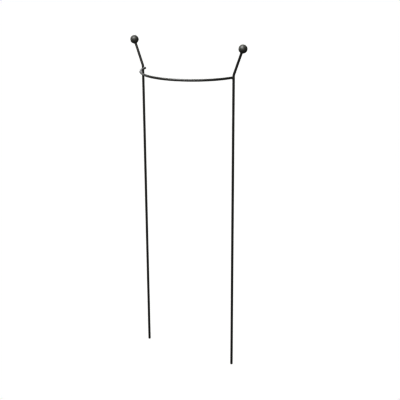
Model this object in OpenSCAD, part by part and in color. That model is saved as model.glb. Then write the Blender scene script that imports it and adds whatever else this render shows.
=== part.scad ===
// Half-round plant support: two straight legs with outward-leaning arms and
// ball finials, joined near the top by one forward-bowed hoop rod.
// Millimetres, +Z up, +X to the viewer's right, the hoop bows towards -Y.
// The origin is midway between the leg axes, level with the legs' lower ends.

/* [Legs] */
// Distance between the two legs, centre to centre
leg_spacing = 320; // [240:5:480]
// Height of the bend in each leg above its lower end
bend_height = 909; // [500:1:1200]
// Diameter of the leg rod over its coating
rod_d = 6.4; // [5:0.1:8]
// Radius of the bend, to the rod's centre line
bend_radius = 15; // [10:1:16]
// How much thicker the bar is in the bend, where it was squeezed
bend_swell = 0.05; // [0.02:0.01:0.2]
// Outward lean of the arm above the bend, in degrees
arm_tilt = 21.25; // [10:0.25:24]
// Length of the arm from the bend to the centre of the ball
arm_length = 82; // [60:1:120]
// Bevel left by deburring the lower ends
tip_bevel = 0.5; // [0.2:0.1:1]

/* [Hoop] */
// Diameter of the hoop rod over its coating
hoop_rod_d = 6.2; // [5:0.1:8]
// How far the hoop's centre line stands in front of the legs
hoop_reach = 119; // [60:1:150]
// Drop from the bend down to the hoop's centre line
hoop_drop = 7.25; // [7:0.25:40]
// How far each hoop end runs past the leg's centre line
hoop_overrun = 4; // [1:0.5:6]
// How deep the hoop is sunk into the leg by the weld
weld_sink = 0.3; // [0.1:0.1:0.6]

/* [Balls] */
// Diameter of the ball finials
ball_d = 24.5; // [18:0.5:40]
// Depth of the blind socket that takes the end of the arm
socket_depth = 12; // [6:1:16]
// Gap all round between the arm and its socket
socket_gap = 0.05; // [0.03:0.01:0.2]

/* [Welds] */
// Radius of the weld nugget at each end of the hoop
nugget_r = 4; // [3.5:0.1:4.4]
// Radius of the weld bead round the foot of each ball
bead_r = 1; // [0.8:0.1:2]

/* [Hidden] */
$fn = 180;

LEFT = -1;
RIGHT = 1;
COATING = [0.12, 0.12, 0.115];
WELD_COATING = [0.16, 0.16, 0.15];

leg_x = leg_spacing / 2;
rod_r = rod_d / 2;
bend_tangent = bend_radius * tan(arm_tilt / 2);
straight_height = bend_height - bend_tangent;
// The straight bars run this far into the bend, so that the leg is one solid
bend_lap = 0.2;
tip_r = rod_r - tip_bevel;

ball_r = ball_d / 2;
// Heights along the arm, measured from the end of the bend
ball_rise = arm_length - bend_tangent;
arm_rise = ball_rise - ball_r + socket_depth;
// Where the arm's surface meets the ball's surface, below the ball's centre
ball_foot = sqrt(ball_r * ball_r - rod_r * rod_r);

hoop_height = bend_height - hoop_drop;
// The hoop passes the legs on their inner side, at this distance from the middle
hoop_half_width = leg_x - rod_r - hoop_rod_d / 2 + weld_sink;
// The circle through both leg crossings and the foremost point
hoop_radius = (hoop_half_width * hoop_half_width + hoop_reach * hoop_reach) / (2 * hoop_reach);
hoop_centre_y = hoop_radius - hoop_reach;
overrun_angle = hoop_overrun / hoop_radius * 180 / PI;
hoop_half_angle = atan2(hoop_half_width, hoop_centre_y) + overrun_angle;

// Puts a right-hand shape on its own side
module on_side(side) {
    mirror([side == RIGHT ? 0 : 1, 0, 0])
        children();
}

// Moves to the centre that the right leg's bend turns about
module at_bend_centre() {
    translate([leg_x + bend_radius, 0, straight_height])
        children();
}

// Moves to the end of the right leg's bend, with +Z along the arm
module along_arm() {
    at_bend_centre()
        rotate([0, arm_tilt, 0])
            translate([-bend_radius, 0, 0])
                children();
}

// The straight part of the right leg, bevelled at its lower end
module straight_leg() {
    translate([leg_x, 0, 0])
        intersection() {
            cylinder(h = straight_height + bend_lap, r = rod_r);
            cylinder(h = straight_height + bend_lap, r1 = tip_r, r2 = tip_r + straight_height + bend_lap);
        }
}

// The short bend, a little thicker than the straight bar
module leg_bend() {
    at_bend_centre()
        rotate([90, 0, 0])
            rotate([0, 0, 180 - arm_tilt])
                rotate_extrude(angle = arm_tilt)
                    translate([bend_radius, 0])
                        circle(r = rod_r + bend_swell);
}

module leg_arm() {
    along_arm()
        translate([0, 0, -bend_lap])
            cylinder(h = bend_lap + arm_rise, r = rod_r);
}

module leg(side) {
    color(COATING)
        on_side(side) {
            straight_leg();
            leg_bend();
            leg_arm();
        }
}

// The full sweep of the hoop rod, before the legs are cut out of it
module hoop_rod() {
    translate([0, hoop_centre_y, hoop_height])
        rotate([0, 0, 270 - hoop_half_angle])
            rotate_extrude(angle = 2 * hoop_half_angle)
                translate([hoop_radius, 0])
                    circle(d = hoop_rod_d);
}

module front_hoop() {
    color(COATING)
        difference() {
            hoop_rod();
            on_side(LEFT)
                straight_leg();
            on_side(RIGHT)
                straight_leg();
        }
}

// The nugget of weld metal in the corners where the hoop crosses the leg
module hoop_weld(side) {
    color(WELD_COATING)
        difference() {
            on_side(side)
                translate([leg_x - rod_r, 0, hoop_height])
                    sphere(r = nugget_r);
            on_side(side)
                straight_leg();
            hoop_rod();
        }
}

// The arm's own bore in a ball, or its shaft, up to a height over the ball's centre
module arm_core(top, r) {
    translate([0, 0, -2 * ball_r])
        cylinder(h = 2 * ball_r + top, r = r);
}

module ball(side) {
    color(COATING)
        on_side(side)
            along_arm()
                translate([0, 0, ball_rise])
                    difference() {
                        sphere(r = ball_r);
                        arm_core(socket_depth - ball_r, rod_r + socket_gap);
                    }
}

// The ring of weld metal where the arm enters the ball
module ball_weld(side) {
    color(WELD_COATING)
        on_side(side)
            along_arm()
                translate([0, 0, ball_rise])
                    difference() {
                        translate([0, 0, -ball_foot])
                            rotate_extrude()
                                translate([rod_r, 0])
                                    circle(r = bead_r);
                        arm_core(0, rod_r);
                        sphere(r = ball_r);
                    }
}

leg(LEFT);  // left_leg
leg(RIGHT);  // right_leg
front_hoop();
hoop_weld(LEFT);  // left_hoop_weld
hoop_weld(RIGHT);  // right_hoop_weld
ball(LEFT);  // left_ball
ball(RIGHT);  // right_ball
ball_weld(LEFT);  // left_ball_weld
ball_weld(RIGHT);  // right_ball_weld
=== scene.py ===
"""Looks for the half-round plant support: two coated bars with ball finials and a forward-bowed hoop."""

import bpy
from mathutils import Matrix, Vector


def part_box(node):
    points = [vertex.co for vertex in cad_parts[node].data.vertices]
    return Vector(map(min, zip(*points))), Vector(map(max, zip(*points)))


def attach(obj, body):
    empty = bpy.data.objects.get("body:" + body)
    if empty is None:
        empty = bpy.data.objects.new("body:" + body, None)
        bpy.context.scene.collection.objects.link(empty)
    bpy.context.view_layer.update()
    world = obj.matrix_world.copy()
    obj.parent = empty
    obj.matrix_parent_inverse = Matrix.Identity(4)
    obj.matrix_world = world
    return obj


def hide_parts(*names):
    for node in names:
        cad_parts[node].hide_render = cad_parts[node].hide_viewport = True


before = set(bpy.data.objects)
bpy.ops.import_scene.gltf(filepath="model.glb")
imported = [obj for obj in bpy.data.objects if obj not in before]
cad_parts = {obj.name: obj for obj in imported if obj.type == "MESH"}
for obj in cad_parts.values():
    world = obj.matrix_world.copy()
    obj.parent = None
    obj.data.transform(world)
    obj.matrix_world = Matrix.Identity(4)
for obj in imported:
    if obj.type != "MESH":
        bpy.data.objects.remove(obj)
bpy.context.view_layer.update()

import math

import bpy
from mathutils import Matrix, Vector, noise

MM = 0.001
UP = Vector((0, 0, 1))
BACK = Vector((0, 1, 0))
LEFT, RIGHT = -1, 1
SIDES = {"left": LEFT, "right": RIGHT}

# Sizes that the boxes of the CAD nodes don't give, as in the design
BEND_SWELL = 0.05 * MM
BEND_RADIUS = 15 * MM
BEND_OVER_HOOP = 7.25 * MM
WELD_SINK = 0.3 * MM
HOOP_OVERRUN = 4 * MM
SOCKET_DEPTH = 12 * MM
SOCKET_GAP = 0.05 * MM

# Everything else comes from the boxes, and is given for the right-hand side
leg_low, leg_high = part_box("right_leg")
hoop_low, hoop_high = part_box("front_hoop")
ball_low, ball_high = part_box("right_ball")

ROD_R = (leg_high.y - leg_low.y) / 2 - BEND_SWELL
LEG_X = leg_low.x + BEND_SWELL + ROD_R
LEG_FOOT = leg_low.z
HOOP_R = (hoop_high.z - hoop_low.z) / 2
HOOP_Z = (hoop_high.z + hoop_low.z) / 2
HOOP_REACH = -(hoop_low.y + HOOP_R)
BALL_R = (ball_high.y - ball_low.y) / 2
BALL_AT = (ball_low + ball_high) / 2

# The arm runs straight from the bend's corner to the ball's centre. ARM_INNER is square to it,
# and points to the middle of the support.
BEND_AT = Vector((LEG_X, 0, HOOP_Z + BEND_OVER_HOOP))
ARM = (BALL_AT - BEND_AT).normalized()
ARM_INNER = ARM.cross(BACK)
ARM_TILT = math.atan2(ARM.x, ARM.z)
ARM_LENGTH = (BALL_AT - BEND_AT).length
BEND_TANGENT = BEND_RADIUS * math.tan(ARM_TILT / 2)
BEND_START = BEND_AT - UP * BEND_TANGENT
BEND_END = BEND_AT + ARM * BEND_TANGENT

# The hoop is an arc through its foremost point and both crossings with the legs
HOOP_HALF_WIDTH = LEG_X - ROD_R - HOOP_R + WELD_SINK
HOOP_RADIUS = (HOOP_HALF_WIDTH**2 + HOOP_REACH**2) / (2 * HOOP_REACH)
HOOP_CENTRE = Vector((0, HOOP_RADIUS - HOOP_REACH, HOOP_Z))
HOOP_CROSSING = math.atan2(HOOP_HALF_WIDTH, HOOP_CENTRE.y)
HOOP_END = HOOP_CROSSING + HOOP_OVERRUN / HOOP_RADIUS


# ---------------------------------------------------------------- mesh tools

CREASE_DEG = 50


def make_object(name, verts, faces, crease_deg=CREASE_DEG):
    """A smooth-shaded mesh object with sharp edges only at real corners."""
    mesh = bpy.data.meshes.new(name)
    mesh.from_pydata([tuple(v) for v in verts], [], faces)
    mesh.update()
    for polygon in mesh.polygons:
        polygon.use_smooth = True
    mesh.set_sharp_from_angle(angle=math.radians(crease_deg))
    obj = bpy.data.objects.new(name, mesh)
    bpy.context.scene.collection.objects.link(obj)
    return obj


def ring(centre, across, out, radius, sides):
    """Points of one ring. radius is a number, or a function of the angle round the ring."""
    points = []
    for i in range(sides):
        angle = 2 * math.pi * i / sides
        r = radius(angle) if callable(radius) else radius
        points.append(centre + (across * math.cos(angle) + out * math.sin(angle)) * r)
    return points


def skin(rings, closed):
    """Vertices and faces over a list of equal rings.

    A closed skin joins the last ring to the first one. An open one gets a fan of faces over each end.
    """
    sides = len(rings[0])
    verts = [p for points in rings for p in points]
    faces = []
    spans = len(rings) if closed else len(rings) - 1
    for k in range(spans):
        a = k * sides
        b = (k + 1) % len(rings) * sides
        for i in range(sides):
            j = (i + 1) % sides
            faces.append((a + i, a + j, b + j, b + i))
    if not closed:
        for points, start, flip in ((rings[0], 0, True), (rings[-1], (len(rings) - 1) * sides, False)):
            hub = len(verts)
            verts.append(sum(points, Vector()) / sides)
            for i in range(sides):
                j = (i + 1) % sides
                face = (start + i, start + j, hub)
                faces.append(face[::-1] if flip else face)
    return verts, faces


def uneven(point, grain, depth):
    """Smooth random rise and fall of about depth either way, the same on every run."""
    return depth * noise.noise(point / grain)


def roughen(obj, grain, depth):
    """Moves each vertex along its normal by a little smooth noise."""
    moves = [v.normal * uneven(v.co, grain, depth) for v in obj.data.vertices]
    for v, move in zip(obj.data.vertices, moves):
        v.co += move
    obj.data.update()


def stand_on_floor(obj):
    """Lifts what the roughening pushed below the feet back to their level."""
    for v in obj.data.vertices:
        v.co.z = max(v.co.z, LEG_FOOT)


def mark_wear(obj, amount):
    """Stores how rubbed the coating is at each vertex, from 0 to 1. amount(point) gives it."""
    layer = obj.data.attributes.new("wear", "FLOAT", "POINT")
    for item, v in zip(layer.data, obj.data.vertices):
        item.value = amount(v.co)


def mirror_side(points, side):
    return [Vector((p.x * side, p.y, p.z)) for p in points]


def sided(rings, side):
    """The right-hand rings as they are, or mirrored and turned the right way out again."""
    if side == RIGHT:
        return rings
    return [mirror_side(points, side)[::-1] for points in rings]


# --------------------------------------------------------------------- bars

ROD_SIDES = 64

# Size and height of the coating's slow rise and fall
COAT_GRAIN = 9 * MM
COAT_DEPTH = 0.02 * MM

# Rings over a cut end: across its flat, as shares of the radius, then round its edge
FACE_SHARES = (0.35, 0.7)
EDGE_STEPS = 4

FOOT_EDGE = 0.5 * MM
FOOT_RINGS = (1 * MM, 2 * MM, 4 * MM, 8 * MM)
RUBBED_HEIGHT = 4 * MM
STRAIGHT_STEP = 12 * MM
BEND_STEPS = 14
BEND_OVAL = 0.1 * MM
ARM_STEP = 6 * MM

HOOP_EDGE = 0.35 * MM
HOOP_END_RINGS = (0.8 * MM, 1.6 * MM)
HOOP_STEPS = 150


def rounded_end(centre, inward, across, out, radius, edge):
    """Rings from a cut face's flat out over its softened edge, the first one nearest the centre."""
    rings = [ring(centre, across, out, radius * share, ROD_SIDES) for share in FACE_SHARES]
    for step in range(EDGE_STEPS + 1):
        turn = math.pi / 2 * step / EDGE_STEPS
        depth = edge * (1 - math.cos(turn))
        r = radius - edge * (1 - math.sin(turn))
        rings.append(ring(centre + inward * depth, across, out, r, ROD_SIDES))
    return rings


def straight_stations(foot):
    """Cross-sections of the leg below its bend. Each station is a centre, a direction and a squeeze."""
    height = BEND_START.z - LEG_FOOT
    steps = round(height / STRAIGHT_STEP)
    rises = [*FOOT_RINGS, *(height * k / steps for k in range(1, steps))]
    return [(foot + UP * rise, UP, 0) for rise in rises]


def bend_stations():
    """Cross-sections round the bend, which is squeezed most at its middle."""
    turn_centre = BEND_START + Vector((BEND_RADIUS, 0, 0))
    stations = []
    for k in range(BEND_STEPS + 1):
        turn = ARM_TILT * k / BEND_STEPS
        along = Vector((math.sin(turn), 0, math.cos(turn)))
        centre = turn_centre + Vector((-math.cos(turn), 0, math.sin(turn))) * BEND_RADIUS
        squeeze = BEND_OVAL * math.sin(math.pi * k / BEND_STEPS)
        stations.append((centre, along, squeeze))
    return stations


def arm_stations():
    """Cross-sections of the arm, as far as the floor of the ball's socket."""
    length = ARM_LENGTH - BEND_TANGENT - BALL_R + SOCKET_DEPTH
    steps = round(length / ARM_STEP)
    return [(BEND_END + ARM * (length * k / steps), ARM, 0) for k in range(1, steps + 1)]


def leg_bar(name, side):
    """One bar: softened foot, straight leg, squeezed bend, and the arm that ends inside the ball."""
    foot = Vector((LEG_X, 0, LEG_FOOT))

    def cross(centre, along, squeeze):
        def oval(angle):
            """A squeezed bar is a little wider across the bend than through it."""
            return ROD_R + squeeze * math.cos(2 * angle)

        return ring(centre, BACK, along.cross(BACK), oval, ROD_SIDES)

    rings = rounded_end(foot, UP, BACK, UP.cross(BACK), ROD_R, FOOT_EDGE)
    rings += [cross(*station) for station in straight_stations(foot) + bend_stations() + arm_stations()]
    obj = make_object(name, *skin(sided(rings, side), closed=False))
    mark_wear(obj, lambda point: max(0, 1 - (point.z - LEG_FOOT) / RUBBED_HEIGHT))
    roughen(obj, COAT_GRAIN, COAT_DEPTH)
    stand_on_floor(obj)
    return obj


def hoop_place(angle):
    """The hoop's centre line at an angle from its foremost point, with the ways out and along there."""
    out = Vector((math.sin(angle), -math.cos(angle), 0))
    along = Vector((math.cos(angle), math.sin(angle), 0))
    return HOOP_CENTRE + out * HOOP_RADIUS, out, along


def hoop_bar(name):
    """The forward-bowed bar with its two square-cut ends."""

    def cross(angle):
        centre, out, _ = hoop_place(angle)
        return ring(centre, out, UP, HOOP_R, ROD_SIDES)

    def rubbed(point):
        """The coating is thin on the rim of each cut end."""
        past = (HOOP_END - abs(math.atan2(point.x, HOOP_CENTRE.y - point.y))) * HOOP_RADIUS
        return max(0, 1 - past / HOOP_END_RINGS[-1])

    start, out, along = hoop_place(-HOOP_END)
    rings = rounded_end(start, along, out, UP, HOOP_R, HOOP_EDGE)
    rings += [cross(-HOOP_END + past / HOOP_RADIUS) for past in HOOP_END_RINGS]
    rings += [cross(HOOP_END * (2 * k / HOOP_STEPS - 1)) for k in range(1, HOOP_STEPS)]
    rings += [cross(HOOP_END - past / HOOP_RADIUS) for past in reversed(HOOP_END_RINGS)]
    end, out, along = hoop_place(HOOP_END)
    rings += rounded_end(end, -along, out, UP, HOOP_R, HOOP_EDGE)[::-1]
    right_way_out = [points[::-1] for points in rings]
    obj = make_object(name, *skin(right_way_out, closed=False))
    mark_wear(obj, rubbed)
    roughen(obj, COAT_GRAIN, COAT_DEPTH)
    return obj


# -------------------------------------------------------------------- balls

BALL_SEGMENTS = 96
BALL_ROWS = 60
BALL_COAT_DEPTH = 0.04 * MM

# The socket's floor has one ring, at this share of its radius, and its wall has this many spans
SOCKET_FLOOR_SHARE = 0.5
SOCKET_WALL_STEPS = 3


def ball_profile():
    """Radius and height along the arm, from the socket's floor down its wall and over the ball."""
    bore = ROD_R + SOCKET_GAP
    floor = SOCKET_DEPTH - BALL_R
    mouth = math.asin(bore / BALL_R)
    wall = -BALL_R * math.cos(mouth) - floor
    profile = [(bore * SOCKET_FLOOR_SHARE, floor), (bore, floor)]
    profile += [(bore, floor + wall * k / SOCKET_WALL_STEPS) for k in range(1, SOCKET_WALL_STEPS)]
    for k in range(BALL_ROWS):
        polar = mouth + (math.pi - mouth) * k / BALL_ROWS
        profile.append((BALL_R * math.sin(polar), -BALL_R * math.cos(polar)))
    return profile


def ball_finial(name, side):
    """A turned ball with the blind socket that its arm sits in."""
    rings = [ring(BALL_AT + ARM * height, BACK, ARM_INNER, r, BALL_SEGMENTS) for r, height in ball_profile()]
    obj = make_object(name, *skin(sided(rings, side), closed=False))
    # The last fan's middle point is the top of the ball, and belongs on the sphere
    top = len(obj.data.vertices) - 1
    obj.data.vertices[top].co = mirror_side([BALL_AT + ARM * BALL_R], side)[0]
    roughen(obj, BALL_R, BALL_COAT_DEPTH)
    return obj


# -------------------------------------------------------------------- welds

BEAD_STATIONS = 192
BEAD_SIDES = 24
BEAD_CREASE_DEG = 80
BEAD_COAT_GRAIN = 1.2 * MM
BEAD_COAT_DEPTH = 0.04 * MM

# Changes of a bead's thickness, as shares of it, and how far the stop's lump and the swell reach
RIPPLE_DEPTH = 0.06
STOP_LUMP = 0.22
STOP_SPREAD = 0.35
SWELL_DEPTH = 0.1
SWELL_GRAIN = 1.8 * MM

# How rubbed the bead's outermost crest is, and how fast that falls off towards the loop's middle
BEAD_RUB = 0.6
BEAD_RUB_FALL = 4


def ripple(angle, ripples):
    """The shallow dips between the welder's steps."""
    return -RIPPLE_DEPTH * (1 - abs(math.sin(angle * ripples / 2))) ** 2


def stop_lump(angle, stop):
    """The rise where the weld stops."""
    turned = (angle - stop + math.pi) % (2 * math.pi) - math.pi
    return STOP_LUMP * math.exp(-((turned / STOP_SPREAD) ** 2))


def bead_loop(name, side, place, axis, ripples, stop, thick):
    """A closed bead of weld metal that runs round an axis.

    place(angle) gives its centre line, ripples is the number of the welder's steps round it, stop is the
    angle at which the weld stops, and thick is the bead's radius.
    """
    half_step = math.pi / BEAD_STATIONS
    rings = []
    for k in range(BEAD_STATIONS):
        angle = 2 * math.pi * k / BEAD_STATIONS
        centre = place(angle)
        along = (place(angle + half_step) - place(angle - half_step)).normalized()
        across = (axis - along * axis.dot(along)).normalized()
        swell = uneven(centre, SWELL_GRAIN, SWELL_DEPTH)
        radius = thick * (1 + ripple(angle, ripples) + stop_lump(angle, stop) + swell)
        rings.append(ring(centre, across, along.cross(across), radius, BEAD_SIDES))
    obj = make_object(name, *skin(sided(rings, side), closed=True), crease_deg=BEAD_CREASE_DEG)
    middle = mirror_side([place(0).lerp(place(math.pi), 0.5)], side)[0]
    reach = max((v.co - middle).length for v in obj.data.vertices)
    mark_wear(obj, lambda point: BEAD_RUB * ((point - middle).length / reach) ** BEAD_RUB_FALL)
    roughen(obj, BEAD_COAT_GRAIN, BEAD_COAT_DEPTH)
    return obj


def hoop_weld(name, side):
    """The bead that fills the gap all round the point where the hoop crosses the leg."""
    reach = 2.6 * MM
    thick = 1.25 * MM
    underside = 1.5 * math.pi
    outward = Vector((1, 0, 0))
    contact = Vector((LEG_X - ROD_R, 0, HOOP_Z))

    def place(angle):
        """Halfway between the two round bars, which fall away from each other."""
        y, z = reach * math.cos(angle), reach * math.sin(angle)
        leg_gap = ROD_R - math.sqrt(ROD_R**2 - y * y)
        hoop_gap = HOOP_R - math.sqrt(HOOP_R**2 - z * z)
        return contact + Vector(((leg_gap - hoop_gap) / 2, y, z))

    return bead_loop(name, side, place, outward, ripples=11, stop=underside, thick=thick)


def ball_weld(name, side):
    """The bead round the arm at the foot of the ball."""
    thick = 0.95 * MM
    back = 0
    foot = math.sqrt(BALL_R**2 - ROD_R**2)
    centre = BALL_AT - ARM * foot

    def place(angle):
        return centre + (BACK * math.cos(angle) + ARM_INNER * math.sin(angle)) * ROD_R

    return bead_loop(name, side, place, ARM, ripples=17, stop=back, thick=thick)


# ---------------------------------------------------------------- materials

# The Mix node's colour sockets share their names with its number sockets, so they go by their places
MIX_A, MIX_B, MIX_RESULT = 6, 7, 2


def grain(tree, place, size, detail):
    """Noise with cells of about the given size in metres."""
    node = tree.nodes.new("ShaderNodeTexNoise")
    node.inputs["Scale"].default_value = 1 / size
    node.inputs["Detail"].default_value = detail
    tree.links.new(place, node.inputs["Vector"])
    return node.outputs["Fac"]


def spread(tree, source, from_range, to_range):
    """source over from_range becomes to_range, and no further."""
    node = tree.nodes.new("ShaderNodeMapRange")
    for socket, value in zip(("From Min", "From Max", "To Min", "To Max"), (*from_range, *to_range)):
        node.inputs[socket].default_value = value
    tree.links.new(source, node.inputs["Value"])
    return node.outputs["Result"]


def add(tree, first, second):
    node = tree.nodes.new("ShaderNodeMath")
    node.operation = "ADD"
    tree.links.new(first, node.inputs[0])
    tree.links.new(second, node.inputs[1])
    return node.outputs["Value"]


def blend(tree, factor, first, second):
    """Colours mixed by factor. Each is a fixed colour, or another node's output."""
    node = tree.nodes.new("ShaderNodeMix")
    node.data_type = "RGBA"
    tree.links.new(factor, node.inputs["Factor"])
    for socket, colour in ((node.inputs[MIX_A], first), (node.inputs[MIX_B], second)):
        if isinstance(colour, tuple):
            socket.default_value = (*colour, 1)
        else:
            tree.links.new(colour, socket)
    return node.outputs[MIX_RESULT]


def bump(tree, height, distance, under=None):
    """Bumps of the given distance, over the normal called under if there is one."""
    node = tree.nodes.new("ShaderNodeBump")
    node.inputs["Distance"].default_value = distance
    tree.links.new(height, node.inputs["Height"])
    if under:
        tree.links.new(under, node.inputs["Normal"])
    return node.outputs["Normal"]


COAT_IOR = 1.5

# Faint cloudiness of the colour, and what it does to the tint at its darkest and palest
CLOUD_SIZE = 40 * MM
CLOUD_RANGE = (0.35, 0.65)
CLOUD_TINTS = (0.8, 1.25)

# Smaller patches that are a little shinier or duller than the rest
SATIN_SIZE = 6 * MM
SATIN_RANGE = (0.3, 0.7)
SHINIER, DULLER = 0.06, 0.07

# Where the wear and this grain add up to more than the range's start, the coating is rubbed through
PATCH_SIZE = 0.9 * MM
RUB_RANGE = (0.95, 1.25)
WORN = (0.085, 0.083, 0.080)
WORN_DULLER = 0.08

# A finer orange peel lies over the main one, as shares of its size and height
FINE_PEEL = 0.22
FINE_RELIEF = 0.3


def powder_coat(name, tint, roughness, peel, relief):
    """Black satin powder coat: orange peel, faint cloudiness, and rubbed patches where the mesh says wear.

    peel is the size of the orange peel's cells, and relief their height.
    """
    material = bpy.data.materials.new(name)
    material.use_nodes = True
    tree = material.node_tree
    shader = tree.nodes["Principled BSDF"]
    shader.inputs["IOR"].default_value = COAT_IOR
    place = tree.nodes.new("ShaderNodeTexCoord").outputs["Object"]

    wear = tree.nodes.new("ShaderNodeAttribute")
    wear.attribute_name = "wear"
    patches = add(tree, wear.outputs["Fac"], grain(tree, place, PATCH_SIZE, detail=3))
    rubbed = spread(tree, patches, RUB_RANGE, (0, 1))

    clouds = spread(tree, grain(tree, place, CLOUD_SIZE, detail=3), CLOUD_RANGE, (0, 1))
    dark, pale = [tuple(channel * share for channel in tint) for share in CLOUD_TINTS]
    coat = blend(tree, clouds, dark, pale)
    tree.links.new(blend(tree, rubbed, coat, WORN), shader.inputs["Base Color"])

    sheens = (roughness - SHINIER, roughness + DULLER)
    satin = spread(tree, grain(tree, place, SATIN_SIZE, detail=4), SATIN_RANGE, sheens)
    duller = spread(tree, rubbed, (0, 1), (0, WORN_DULLER))
    tree.links.new(add(tree, satin, duller), shader.inputs["Roughness"])

    cells = bump(tree, grain(tree, place, peel, detail=1), relief)
    fine_grain = grain(tree, place, peel * FINE_PEEL, detail=2)
    tree.links.new(bump(tree, fine_grain, relief * FINE_RELIEF, under=cells), shader.inputs["Normal"])
    return material


BLACK = (0.019, 0.019, 0.0165)
# The balls have the same black coat as the bars. This colour is over twice as bright in linear light, and
# the extra brightness is painted light that lifts the balls' shading.
BALL_BLACK_LIFTED_BY_PAINTED_LIGHT = (0.042, 0.042, 0.037)
COATED_BAR = powder_coat("powder_coat_on_bar", BLACK, 0.43, peel=1.6 * MM, relief=0.1 * MM)
# The ball's coat takes the lifted colour above, so its base colour carries painted light on top of the black
# coat.
COATED_BALL_WITH_PAINTED_LIGHT = powder_coat("powder_coat_on_ball_with_painted_light", BALL_BLACK_LIFTED_BY_PAINTED_LIGHT, 0.52, peel=1.8 * MM, relief=0.1 * MM)
COATED_WELD = powder_coat("powder_coat_on_weld", BLACK, 0.44, peel=1.2 * MM, relief=0.08 * MM)


# --------------------------------------------------------------- the pieces


def place_piece(obj, node, material):
    """Gives a piece its coating, and hands it over in place of its CAD node."""
    obj.data.materials.append(material)
    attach(obj, "root")
    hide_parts(node)


place_piece(hoop_bar("hoop_bar"), "front_hoop", COATED_BAR)
for word, side in SIDES.items():
    place_piece(leg_bar(f"leg_bar_{word}", side), f"{word}_leg", COATED_BAR)
    place_piece(ball_finial(f"ball_finial_{word}", side), f"{word}_ball", COATED_BALL_WITH_PAINTED_LIGHT)
    place_piece(hoop_weld(f"hoop_bead_{word}", side), f"{word}_hoop_weld", COATED_WELD)
    place_piece(ball_weld(f"ball_bead_{word}", side), f"{word}_ball_weld", COATED_WELD)


# ------------------------------------------------------- floor, light, camera

# Metres, but millimetres for the sensor and the lens
FLOOR_HALF = 30
FAR_CLIP = 200
SENSOR_WIDTH = 36
LIT_POINT = Vector((0, 0, BALL_AT.z))
# A hair over white, so that the grain of the render doesn't grey it
PAPER_WHITE = 1.004
COOL_WHITE = (0.97, 0.975, 1.0)
# With this gamma, thin dark bars keep their weight against white, as they do in a picture
# that was scaled down after its tone curve. The lights and the coating's colours are set for it.
DISPLAY_GAMMA = 0.515


def pale_floor():
    """A floor that glows plain white, and that the coating doesn't mirror."""
    corners = [(-1, -1), (1, -1), (1, 1), (-1, 1)]
    verts = [Vector((x * FLOOR_HALF, y * FLOOR_HALF, LEG_FOOT)) for x, y in corners]
    floor = make_object("floor", verts, [(0, 1, 2, 3)])
    material = bpy.data.materials.new("floor_white")
    material.use_nodes = True
    nodes = material.node_tree.nodes
    nodes.remove(nodes["Principled BSDF"])
    glow = nodes.new("ShaderNodeEmission")
    glow.inputs["Strength"].default_value = PAPER_WHITE
    material.node_tree.links.new(glow.outputs["Emission"], nodes["Material Output"].inputs["Surface"])
    floor.data.materials.append(material)
    floor.visible_glossy = False


def studio_world(seen, felt):
    """A plain surround, with one brightness to the eye and another to the object."""
    world = bpy.data.worlds.new("studio")
    bpy.context.scene.world = world
    world.use_nodes = True
    nodes = world.node_tree.nodes
    links = world.node_tree.links
    surround = nodes["Background"]
    surround.inputs["Color"].default_value = (1, 1, 1, 1)
    level = nodes.new("ShaderNodeMapRange")
    level.inputs["To Min"].default_value = felt
    level.inputs["To Max"].default_value = seen
    links.new(nodes.new("ShaderNodeLightPath").outputs["Is Camera Ray"], level.inputs["Value"])
    links.new(level.outputs["Result"], surround.inputs["Strength"])


def soft_box(name, way, distance, width, height, radiance):
    """A rectangular studio light that faces the middle of the finials from the given direction."""
    light = bpy.data.lights.new(name, "AREA")
    light.shape = "RECTANGLE"
    light.size = width
    light.size_y = height
    light.energy = radiance * math.pi * width * height
    light.color = COOL_WHITE
    obj = bpy.data.objects.new(name, light)
    way = Vector(way).normalized()
    obj.location = LIT_POINT + way * distance
    obj.rotation_mode = "QUATERNION"
    obj.rotation_quaternion = way.to_track_quat("Z", "Y")
    obj.visible_camera = False
    bpy.context.scene.collection.objects.link(obj)


def camera_at(at, heading_deg, pitch_deg, roll_deg, lens):
    """A camera turned left of +Y, tipped down by its pitch, then rolled about its own line of sight."""
    data = bpy.data.cameras.new("camera")
    data.sensor_width = SENSOR_WIDTH
    data.lens = lens
    data.clip_end = FAR_CLIP
    camera = bpy.data.objects.new("camera", data)
    turn = Matrix.Rotation(math.radians(heading_deg), 4, "Z")
    turn = turn @ Matrix.Rotation(math.radians(90 - pitch_deg), 4, "X")
    turn = turn @ Matrix.Rotation(math.radians(roll_deg), 4, "Z")
    camera.matrix_world = Matrix.Translation(at) @ turn
    bpy.context.scene.collection.objects.link(camera)
    bpy.context.scene.camera = camera


pale_floor()
studio_world(seen=PAPER_WHITE, felt=0.36)
soft_box("key", way=(0.0, -0.52, 0.85), distance=3.0, width=3.2, height=2.6, radiance=20.0)
soft_box("left_wall", way=(-0.94, 0.10, -0.05), distance=4.0, width=3.0, height=2.0, radiance=4.4)
soft_box("backdrop", way=(-0.50, 0.83, 0.22), distance=4.0, width=4.0, height=1.8, radiance=3.8)
soft_box("fill", way=(0.45, -0.85, 0.20), distance=4.0, width=3.5, height=2.0, radiance=5.8)
camera_at(Vector((1.449, -2.104, 1.340)), heading_deg=33.73, pitch_deg=17.97, roll_deg=-0.26, lens=79.17)
bpy.context.scene.view_settings.view_transform = "Standard"
bpy.context.scene.view_settings.gamma = DISPLAY_GAMMA
